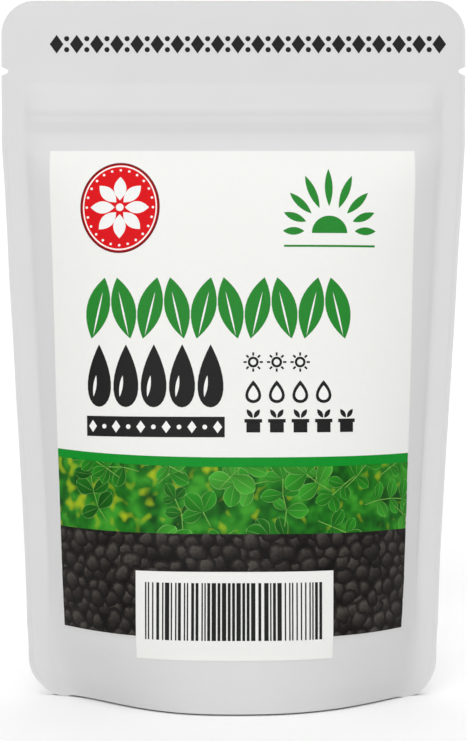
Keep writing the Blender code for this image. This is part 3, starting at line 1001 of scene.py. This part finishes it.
def pile(places, reach):
    """Lay each place one layer above the highest earlier one that it may touch."""
    laid = []
    for place in places:
        below = [other.layer for other in laid
                 if math.hypot(other.x - place.x, other.y - place.y) < reach(other) + reach(place)]
        laid.append(place._replace(layer=max(below, default=0) + 1))
    return laid


print_ink(band(RULE_LOW, RULE_HIGH), "print_green_rule", rule_ink, askew=True)

# %% One leaf: a small grid drawn in to a narrow base and a broad, round tip
LEAF_COLUMNS = 6
LEAF_ROWS = 9
TIP_CROWDING = 1.5
BROAD_AT = 1.25
LEAF_BASE = 0.04
LEAF_FULLNESS = 0.62


def leaf_model():
    model = lined_grid([i / LEAF_COLUMNS - 0.5 for i in range(LEAF_COLUMNS + 1)],
                       [i / LEAF_ROWS for i in range(LEAF_ROWS + 1)])
    points = read_points(model)
    up = 1.0 - (1.0 - np.clip(points[:, 1], 0.0, 1.0)) ** TIP_CROWDING
    points[:, 0] *= np.clip(np.sin(np.pi * up ** BROAD_AT), LEAF_BASE, None) ** LEAF_FULLNESS
    points[:, 1] = up
    write_points(model, points)
    return model


# %% Sprigs: thin stems with round leaves in pairs and one at the tip
# Each pair of numbers is the range of a random draw. Lengths are in millimetres, turns in radians.
LEAF_SEED = 58
SPRIGS = 22
SPRIGS_LEFT = -27.0
SPRIGS_RIGHT = 37.0
GOLDEN_SHARE = 0.618
SPRIG_SHIFTS = (-2.0, 2.0)
SPRIG_TURNS = (-2.4, 2.4)
SPRIG_SHADES = (-0.05, 0.1)
FAR_SIZE = 0.8
FAR_SHADE = 0.05
NEAR_SHADE = 0.5
TIP_SHADE = 0.08
PAIR_COUNTS = (1, 2, 2, 3)
LEAF_LENGTHS = (4.2, 6.8)
LENGTH_SHARES = (0.75, 1.0)
LEAF_TURNS = (0.85, 1.5)
LEAF_WIDTHS = (0.58, 0.78)
LEAF_SHADES = (-0.08, 0.12)
TIP_WIDTHS = (0.62, 0.8)
STEM_TURNS = (-0.35, 0.35)
STEM_STEP = 3.4
STEM_WIDTH = 0.2
STEM_TINT = 2.0


def sprig_places(draw):
    """Stems and leaves of all sprigs. Those drawn later lie nearer, and are larger and paler."""
    places = []
    for number in range(SPRIGS):
        near = number / (SPRIGS - 1)
        share = number * GOLDEN_SHARE % 1.0
        x = SPRIGS_LEFT + share * (SPRIGS_RIGHT - SPRIGS_LEFT) + draw.uniform(*SPRIG_SHIFTS)
        y = draw.uniform(LEAF_BAND_LOW - 1.0, RULE_LOW - 1.0)
        turn = draw.uniform(*SPRIG_TURNS)
        size = draw.uniform(*LEAF_LENGTHS) * (FAR_SIZE + (1.0 - FAR_SIZE) * near)
        shade = FAR_SHADE + (NEAR_SHADE - FAR_SHADE) * near + draw.uniform(*SPRIG_SHADES)
        for _ in range(draw.choice(PAIR_COUNTS)):
            step_x, step_y = -STEM_STEP * math.sin(turn), STEM_STEP * math.cos(turn)
            places.append(Place(x + step_x / 2.0, y + step_y / 2.0, turn, STEM_WIDTH, STEM_STEP,
                                0, STEM_TINT))
            x += step_x
            y += step_y
            for side in (-1.0, 1.0):
                length = size * draw.uniform(*LENGTH_SHARES)
                places.append(Place(x, y, turn + side * draw.uniform(*LEAF_TURNS),
                                    length * draw.uniform(*LEAF_WIDTHS), length, 0,
                                    shade + draw.uniform(*LEAF_SHADES)))
            turn += draw.uniform(*STEM_TURNS)
        places.append(Place(x, y, turn, size * draw.uniform(*TIP_WIDTHS), size, 0, shade + TIP_SHADE))
    return places


leaves = pile(sprig_places(random.Random(LEAF_SEED)), lambda leaf: 0.5 * leaf.height)
print(len(leaves), "leaves and stems in", max(leaf.layer for leaf in leaves), "layers")

# %% [markdown]
# ## Printed foliage
# The ground behind the leaves is out of focus: soft blots of deep and yellow green.
# A leaf has a pale rim and midrib, and its tone runs softly from base to tip and from side to side.

# %% Material: out-of-focus foliage
BLOT_SIZE = 3.4 * MM

leaf_ground_look, tree, shader = new_material("offset_print_soft_foliage", INK_ROUGHNESS,
                                              specular=INK_SPECULAR)
place = add_node(tree, "TexCoord")
blots = add_node(tree, "TexNoise", {"Vector": place.outputs["Object"], "Scale": 1.0 / BLOT_SIZE,
                                    "Detail": 1.5})
greens = add_node(tree, "ValToRGB", {"Fac": blots}, ((0.3, "#0D4711"), (0.7, "#3F9C29"), (0.5, "#1E7519")))
sun_spots = add_node(tree, "TexNoise", {"Vector": place.outputs["Object"], "Scale": 1.7 / BLOT_SIZE,
                                        "Detail": 0.0, "W": 3.0}, noise_dimensions="4D")
axes = add_node(tree, "SeparateXYZ", {"Vector": place.outputs["Object"]})
leftward = add_node(tree, "MapRange", {"Value": axes.outputs["X"], "From Min": -0.038, "From Max": 0.01,
                                       "To Min": 0.07, "To Max": -0.05})
lit = add_node(tree, "Math", {0: sun_spots, 1: leftward}, operation="ADD")
spot = add_node(tree, "MapRange", {"Value": lit, "From Min": 0.58, "From Max": 0.86, "To Max": 0.9})
ground = add_node(tree, "Mix", {0: spot, 6: greens, 7: linear("#A9BE1E")}, data_type="RGBA")
set_inputs(tree, shader, {"Base Color": ground})

# %% Material: printed leaves
leaf_look, tree, shader = new_material("offset_print_leaves", INK_ROUGHNESS, specular=INK_SPECULAR)
tint = add_node(tree, "Attribute", attribute_name="tint")
blade = add_node(tree, "ValToRGB", {"Fac": tint.outputs["Fac"]},
                 ((0.0, "#125F10"), (0.75, "#54B13A"), (0.38, "#278E1D"), (1.0, "#74AE48")))
uv = add_node(tree, "UVMap", uv_map="UVMap")
leaf_axes = add_node(tree, "SeparateXYZ", {"Vector": uv})
off_rib = add_node(tree, "Math", {0: leaf_axes.outputs["X"], 1: 0.5}, operation="SUBTRACT")
far = add_node(tree, "Math", {0: off_rib}, operation="ABSOLUTE")
rib = add_node(tree, "MapRange", {"Value": far, "From Min": 0.035, "From Max": 0.01, "To Max": 0.7})
side_rim = add_node(tree, "MapRange", {"Value": far, "From Min": 0.43, "From Max": 0.475})
tip_rim = add_node(tree, "MapRange", {"Value": leaf_axes.outputs["Y"], "From Min": 0.86, "From Max": 0.93})
rim = add_node(tree, "Math", {0: side_rim, 1: tip_rim}, operation="MAXIMUM")
lines = add_node(tree, "Math", {0: rib, 1: rim}, operation="MAXIMUM")
half = add_node(tree, "MapRange", {"Value": off_rib, "From Min": -0.35, "From Max": 0.35,
                                   "To Min": 0.8, "To Max": 1.12})
length = add_node(tree, "MapRange", {"Value": leaf_axes.outputs["Y"], "To Min": 0.72, "To Max": 1.15})
tone = add_node(tree, "Math", {0: half, 1: length}, operation="MULTIPLY")
shaded = add_node(tree, "Mix", {0: 1.0, 6: blade, 7: tone}, data_type="RGBA", blend_type="MULTIPLY")
faint = add_node(tree, "Math", {0: lines, 1: 0.4}, operation="MULTIPLY")
veined = add_node(tree, "Mix", {0: faint, 6: shaded, 7: linear("#98D274")}, data_type="RGBA")
set_inputs(tree, shader, {"Base Color": veined})

# %% Print the foliage band
print_ink(band(LEAF_BAND_LOW, RULE_LOW), "print_foliage_ground", leaf_ground_look, askew=True)
leaf_print = join([stamp(leaf_model(), [leaf for leaf in leaves if leaf.tint < STEM_TINT]),
                   stamp(square(), [leaf for leaf in leaves if leaf.tint == STEM_TINT])])
crop(leaf_print, -BAND_HALF_WIDTH, BAND_HALF_WIDTH, LEAF_BAND_LOW, RULE_LOW)
print_ink(leaf_print, "print_foliage_leaves", leaf_look, askew=True)

# %% [markdown]
# ## The seeds in the picture band
# Dark seeds fill the foot of the label. A Voronoi texture is the quick way to such a heap, but its
# cells only meet, and seeds overlap. So one lump is modelled, a disc with two rings of points, and
# each copy gets its light in code: bright where it faces up and to the left, dark at its rim.

# %% Model the lump and scatter it
SEED_PITCH = 3.1
SEED_ROW_STEP = 2.5
LUMP_SIZES = (3.3, 5.2)
LUMP_WIDTHS = (0.68, 0.95)
LUMP_SHIFTS_X = (-0.7, 0.7)
LUMP_SHIFTS_Y = (-0.6, 0.6)
LUMP_TOUCH = 0.46
LUMP_SEED = 7
LUMP_SEGMENTS = 11
LUMP_RINGS = (0.07, 0.16)
LIGHT_FROM = (-0.45, 0.89)


def lump_places(draw):
    places = []
    rows = math.ceil((LEAF_BAND_LOW - SEED_BAND_LOW) / SEED_ROW_STEP) + 1
    columns = math.ceil(2.0 * BAND_HALF_WIDTH / SEED_PITCH) + 1
    for row in range(rows):
        for column in range(columns):
            x = -BAND_HALF_WIDTH + (column + 0.5 * (row % 2)) * SEED_PITCH + draw.uniform(*LUMP_SHIFTS_X)
            y = SEED_BAND_LOW + row * SEED_ROW_STEP + draw.uniform(*LUMP_SHIFTS_Y)
            size = draw.uniform(*LUMP_SIZES)
            places.append(Place(x, y, draw.uniform(0.0, math.pi), size, size * draw.uniform(*LUMP_WIDTHS),
                                0, draw.uniform(0.0, 1.0)))
    draw.shuffle(places)
    return places


lumps = pile(lump_places(random.Random(LUMP_SEED)), lambda lump: LUMP_TOUCH * lump.width)
print(len(lumps), "printed seeds in", max(lump.layer for lump in lumps), "layers")
lump_print = inset_disc(LUMP_SEGMENTS, LUMP_RINGS, bpy.ops.mesh.poke)
lump_corners = len(lump_print.data.vertices)
stamp(lump_print, lumps)

# %% Light each lump and roughen its outline
LUMP_LIGHT = 0.42
LIGHT_CONTRAST = 0.55
TINT_CONTRAST = 0.22
RIM_FROM = 0.62
RIM_LIGHT = 0.1
LUMP_ROUGH = 0.09
WAVE_ORDERS = (2, 3, 4)
WAVE_HEIGHTS = (0.3, 1.0)
WAVE_STARTS = (0.0, 6.3)


def light_lumps(piece, places, corners):
    """Store each point's light, and move the points of each lump a little, so that no two are alike."""
    draw = random.Random(LUMP_SEED + 1)
    points = read_points(piece)
    light = piece.data.attributes.new("light", "FLOAT", "POINT")
    values = np.zeros(len(points))
    for number, place in enumerate(places):
        rows = slice(number * corners, (number + 1) * corners)
        off = points[rows, :2] - (place.x, place.y)
        reach = np.hypot(off[:, 0], off[:, 1])
        toward = (off @ LIGHT_FROM) / reach.max()
        bright = LUMP_LIGHT + LIGHT_CONTRAST * toward + TINT_CONTRAST * (place.tint - 0.5)
        dark = RIM_LIGHT * (toward + 1.0) * place.tint
        values[rows] = np.where(reach / reach.max() > RIM_FROM, dark, bright)
        bearing = np.arctan2(off[:, 1], off[:, 0])
        wobble = np.ones(len(off))
        for order in WAVE_ORDERS:
            height = LUMP_ROUGH * draw.uniform(*WAVE_HEIGHTS)
            wobble += height * np.cos(order * bearing + draw.uniform(*WAVE_STARTS))
        points[rows, :2] = (place.x, place.y) + off * wobble[:, None]
    light.data.foreach_set("value", values.astype(np.float32))
    write_points(piece, points)


light_lumps(lump_print, lumps, lump_corners)

# %% Material: printed seeds
SPECKLE = 0.5 * MM

seed_ink, tree, shader = new_material("offset_print_dark_seeds", INK_ROUGHNESS, specular=INK_SPECULAR)
light = add_node(tree, "Attribute", attribute_name="light")
place = add_node(tree, "TexCoord")
speckle = add_node(tree, "TexNoise", {"Vector": place.outputs["Object"], "Scale": 1.0 / SPECKLE,
                                      "Detail": 3.0})
rough_light = add_node(tree, "Math", {0: speckle, 1: 0.5, 2: light.outputs["Fac"]}, operation="MULTIPLY_ADD")
husk_tones = add_node(tree, "ValToRGB", {"Fac": rough_light},
                      ((0.25, "#151311"), (1.0, "#4F4A45"), (0.62, "#2F2B28")))
set_inputs(tree, shader, {"Base Color": husk_tones})
dark_ground = printed_ink("offset_ink_seed_shadow", "#100E0D", waver=0.1)

# %% Print the seed band
print_ink(band(SEED_BAND_LOW, LEAF_BAND_LOW), "print_seed_ground", dark_ground, askew=True)
crop(lump_print, -BAND_HALF_WIDTH, BAND_HALF_WIDTH, SEED_BAND_LOW, LEAF_BAND_LOW)
print_ink(lump_print, "print_seed_heap", seed_ink, askew=True)

# %% [markdown]
# ## The bars on the sticker
# A bar code is only bars and gaps of one to four units. These widths are drawn at random from a
# fixed seed, so they say nothing. Each bar is one plane, because its ends and sides are straight.

# %% Draw the bars
CODE_LEFT = -18.4
CODE_RIGHT = 18.8
CODE_LOW = 15.5
CODE_HIGH = 27.4
CODE_UNITS = 123
CODE_SEED = 23
BAR_UNITS = (1, 1, 1, 2, 2, 3)
GAP_UNITS = (1, 1, 1, 2, 2)


def code_places():
    draw = random.Random(CODE_SEED)
    unit = (CODE_RIGHT - CODE_LEFT) / CODE_UNITS
    places, at = [], 0
    while at < CODE_UNITS:
        width = min(draw.choice(BAR_UNITS), CODE_UNITS - at)
        places.append(Place(CODE_LEFT + (at + width / 2.0) * unit, (CODE_LOW + CODE_HIGH) / 2.0, 0.0,
                            width * unit, CODE_HIGH - CODE_LOW))
        at += width + draw.choice(GAP_UNITS)
    return places


print_ink(stamp(square(), code_places()), "sticker_bars", black_ink, relief=over_label_edge)

# %% [markdown]
# ## Film, paper, zip and seeds
# The film is a polyester laminate with a matte lacquer: an even white with a soft, wide sheen.
# Its lacquer has a fine tooth, and the sheet waves a little, which only shows where light grazes it.

# %% Material: matte white film
# The real tooth is a few hundredths of a millimetre, too fine to show, so it is drawn coarser.
TOOTH = 0.5 * MM
WAVE = 14.0 * MM

film_look, tree, shader = new_material("polyester_film_matte_white", 0.46)
place = add_node(tree, "TexCoord")
tooth = add_node(tree, "TexNoise", {"Vector": place.outputs["Object"], "Scale": 1.0 / TOOTH, "Detail": 2.0})
wave = add_node(tree, "TexNoise", {"Vector": place.outputs["Object"], "Scale": 1.0 / WAVE, "Detail": 1.0})
tone = add_node(tree, "MapRange", {"Value": wave, "From Min": 0.3, "From Max": 0.7, "To Min": 0.985,
                                   "To Max": 1.0})
white = add_node(tree, "Mix", {0: 1.0, 6: linear("#DEDEDE"), 7: tone}, data_type="RGBA",
                 blend_type="MULTIPLY")
gloss = add_node(tree, "MapRange", {"Value": tooth, "To Min": 0.4, "To Max": 0.52})
fine_bump = add_node(tree, "Bump", {"Height": tooth, "Strength": 0.04, "Distance": 0.1 * MM})
wide_bump = add_node(tree, "Bump", {"Height": wave, "Strength": 0.15, "Distance": 0.4 * MM,
                                    "Normal": fine_bump})
set_inputs(tree, shader, {"Base Color": white, "Roughness": gloss, "Normal": wide_bump})

# %% Materials: coated paper, natural polyethylene of the zip, and dry seed husk
# The fibres of paper, the haze of the zip and the wrinkles of a husk are each one fine noise,
# which runs through the colour and, for paper and husk, also roughens the surface. Paper fibres
# are a few hundredths of a millimetre wide, so the clumps that they form are drawn instead.
FIBRE_CLUMP = 0.4 * MM
ZIP_HAZE = 5.0 / 3.0 * MM
HUSK_WRINKLE = 5.0 / 7.0 * MM


def grained(name, roughness, size, detail, stops, depth=0.0, strength=1.0, **values):
    made, tree, shader = new_material(name, roughness, **values)
    place = add_node(tree, "TexCoord")
    grain = add_node(tree, "TexNoise", {"Vector": place.outputs["Object"], "Scale": 1.0 / size,
                                        "Detail": detail})
    set_inputs(tree, shader, {"Base Color": add_node(tree, "ValToRGB", {"Fac": grain}, stops)})
    if depth:
        relief = add_node(tree, "Bump", {"Height": grain, "Strength": strength, "Distance": depth})
        set_inputs(tree, shader, {"Normal": relief})
    return made


paper_look = grained("coated_paper_matte_white", 0.5, FIBRE_CLUMP, 4.0, ((0.0, "#F1F1EE"), (1.0, "#F7F7F4")),
                     depth=0.1 * MM, strength=0.03, specular=0.2)
zip_look = grained("polyethylene_natural_extruded", 0.35, ZIP_HAZE, 2.0,
                   ((0.0, "#DADDDD"), (1.0, "#ECEEEE")), ior=1.51)
husk_look = grained("seed_husk_dry_dark", 0.72, HUSK_WRINKLE, 6.0, ((0.35, "#1E1713"), (0.7, "#574B42")),
                    depth=0.3 * MM, strength=0.5)

# %% Dress the sheets, hide the solids that they stand for, and give the zip and the seeds their finish
dress(front_film, "front_film_sheet", film_look)
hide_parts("front_film")
dress(back_film, "back_film_sheet", film_look)
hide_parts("back_film")
dress(gusset, "bottom_gusset_sheet", film_look)
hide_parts("bottom_gusset")
dress(label, "front_label_paper", paper_look)
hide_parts("front_label")
dress(sticker, "barcode_label_paper", paper_look)
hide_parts("barcode_label")
for name, look in (("zip_rib_strip", zip_look), ("zip_channel_strip", zip_look), ("seed_fill", husk_look)):
    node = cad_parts[name]
    node.data.materials.clear()
    node.data.materials.append(look)

# %% [markdown]
# ## Floor, light and camera
# The picture is a studio shot on white. One soft light stands low in front, a little to the left,
# another hangs overhead, and the white walls behind and beside the pouch fill in the rest.

# %% Floor
# The floor is overexposed in the picture, so the camera sees it brighter than the light that it throws.
FLOOR_THROWS = "#EAEAEA"
FLOOR_SHOWS = 0.995

deselect()
bpy.ops.mesh.primitive_plane_add(size=8.0)
floor = bpy.context.object
floor.name = "studio_floor"
floor_look, tree, shader = new_material("studio_floor_matte_white", 0.6)
path = add_node(tree, "LightPath")
floor_tone = add_node(tree, "Mix", {0: path.outputs["Is Camera Ray"], 6: linear(FLOOR_THROWS),
                                    7: (FLOOR_SHOWS, FLOOR_SHOWS, FLOOR_SHOWS, 1.0)}, data_type="RGBA")
matte = add_node(tree, "BsdfDiffuse", {"Color": floor_tone})
tree.nodes.remove(shader)
set_inputs(tree, tree.nodes["Material Output"], {"Surface": matte})
floor.data.materials.append(floor_look)

# %% Room: axis and side of each wall, how fast its light fades from its middle, and its strength
WALLS = (("Y", 1.0, 1.0, 1.3), ("X", -1.0, 2.0, 0.1), ("X", 1.0, 2.0, 0.5))
BACKDROP = 1.05

room = bpy.data.worlds.new("white_room")
bpy.context.scene.world = room
room.use_nodes = True
tree = room.node_tree
direction = add_node(tree, "TexCoord")
axes = add_node(tree, "SeparateXYZ", {"Vector": direction.outputs["Generated"]})
total = 0.0
for axis, sign, fade, strength in WALLS:
    toward = add_node(tree, "Math", {0: axes.outputs[axis], 1: sign}, operation="MULTIPLY")
    facing = add_node(tree, "Math", {0: toward, 1: 0.0}, operation="MAXIMUM")
    faded = add_node(tree, "Math", {0: facing, 1: fade}, operation="POWER")
    total = add_node(tree, "Math", {0: faded, 1: strength, 2: total}, operation="MULTIPLY_ADD")
room_light = tree.nodes["Background"]
set_inputs(tree, room_light, {"Color": linear("#FFFFFF"), "Strength": total})
backdrop = add_node(tree, "Background", {"Color": linear("#FFFFFF"), "Strength": BACKDROP})
path = add_node(tree, "LightPath")
seen = add_node(tree, "MixShader", {0: path.outputs["Is Camera Ray"], 1: room_light, 2: backdrop})
set_inputs(tree, tree.nodes["World Output"], {"Surface": seen})

# %% Two soft lamps: name, height and side in degrees, and strength
LAMPS = (("front_light", 20.0, -10.0, 1.42), ("overhead_light", 80.0, -10.0, 1.67))
SOFTNESS = math.radians(50.0)

for name, height, side, strength in LAMPS:
    lamp = bpy.data.lights.new(name, "SUN")
    lamp.energy = strength
    lamp.angle = SOFTNESS
    lamp_holder = bpy.data.objects.new(name, lamp)
    bpy.context.scene.collection.objects.link(lamp_holder)
    level = math.cos(math.radians(height))
    toward_lamp = Vector((math.sin(math.radians(side)) * level, -math.cos(math.radians(side)) * level,
                          math.sin(math.radians(height))))
    lamp_holder.rotation_euler = toward_lamp.to_track_quat("Z", "Y").to_euler()

# %% Camera
CAMERA_DISTANCE = 0.330
CAMERA_HEIGHT = 0.07599
CAMERA_SIDE = 0.00004
CAMERA_TILT = math.radians(0.79)
PICTURE_HEIGHT = 741.0
PIXELS_PER_METRE = 4550.0
SENSOR = 36.0

eye = bpy.data.cameras.new("camera")
eye.sensor_width = SENSOR
eye.lens = SENSOR * PIXELS_PER_METRE * CAMERA_DISTANCE / PICTURE_HEIGHT
eye.clip_start = 0.01
camera = bpy.data.objects.new("camera", eye)
bpy.context.scene.collection.objects.link(camera)
camera.location = (CAMERA_SIDE, -CAMERA_DISTANCE, CAMERA_HEIGHT)
camera.rotation_euler = (math.pi / 2.0 - CAMERA_TILT, 0.0, 0.0)
bpy.context.scene.camera = camera
bpy.context.scene.view_settings.view_transform = "Standard"
print("lens, in mm:", round(eye.lens, 1))
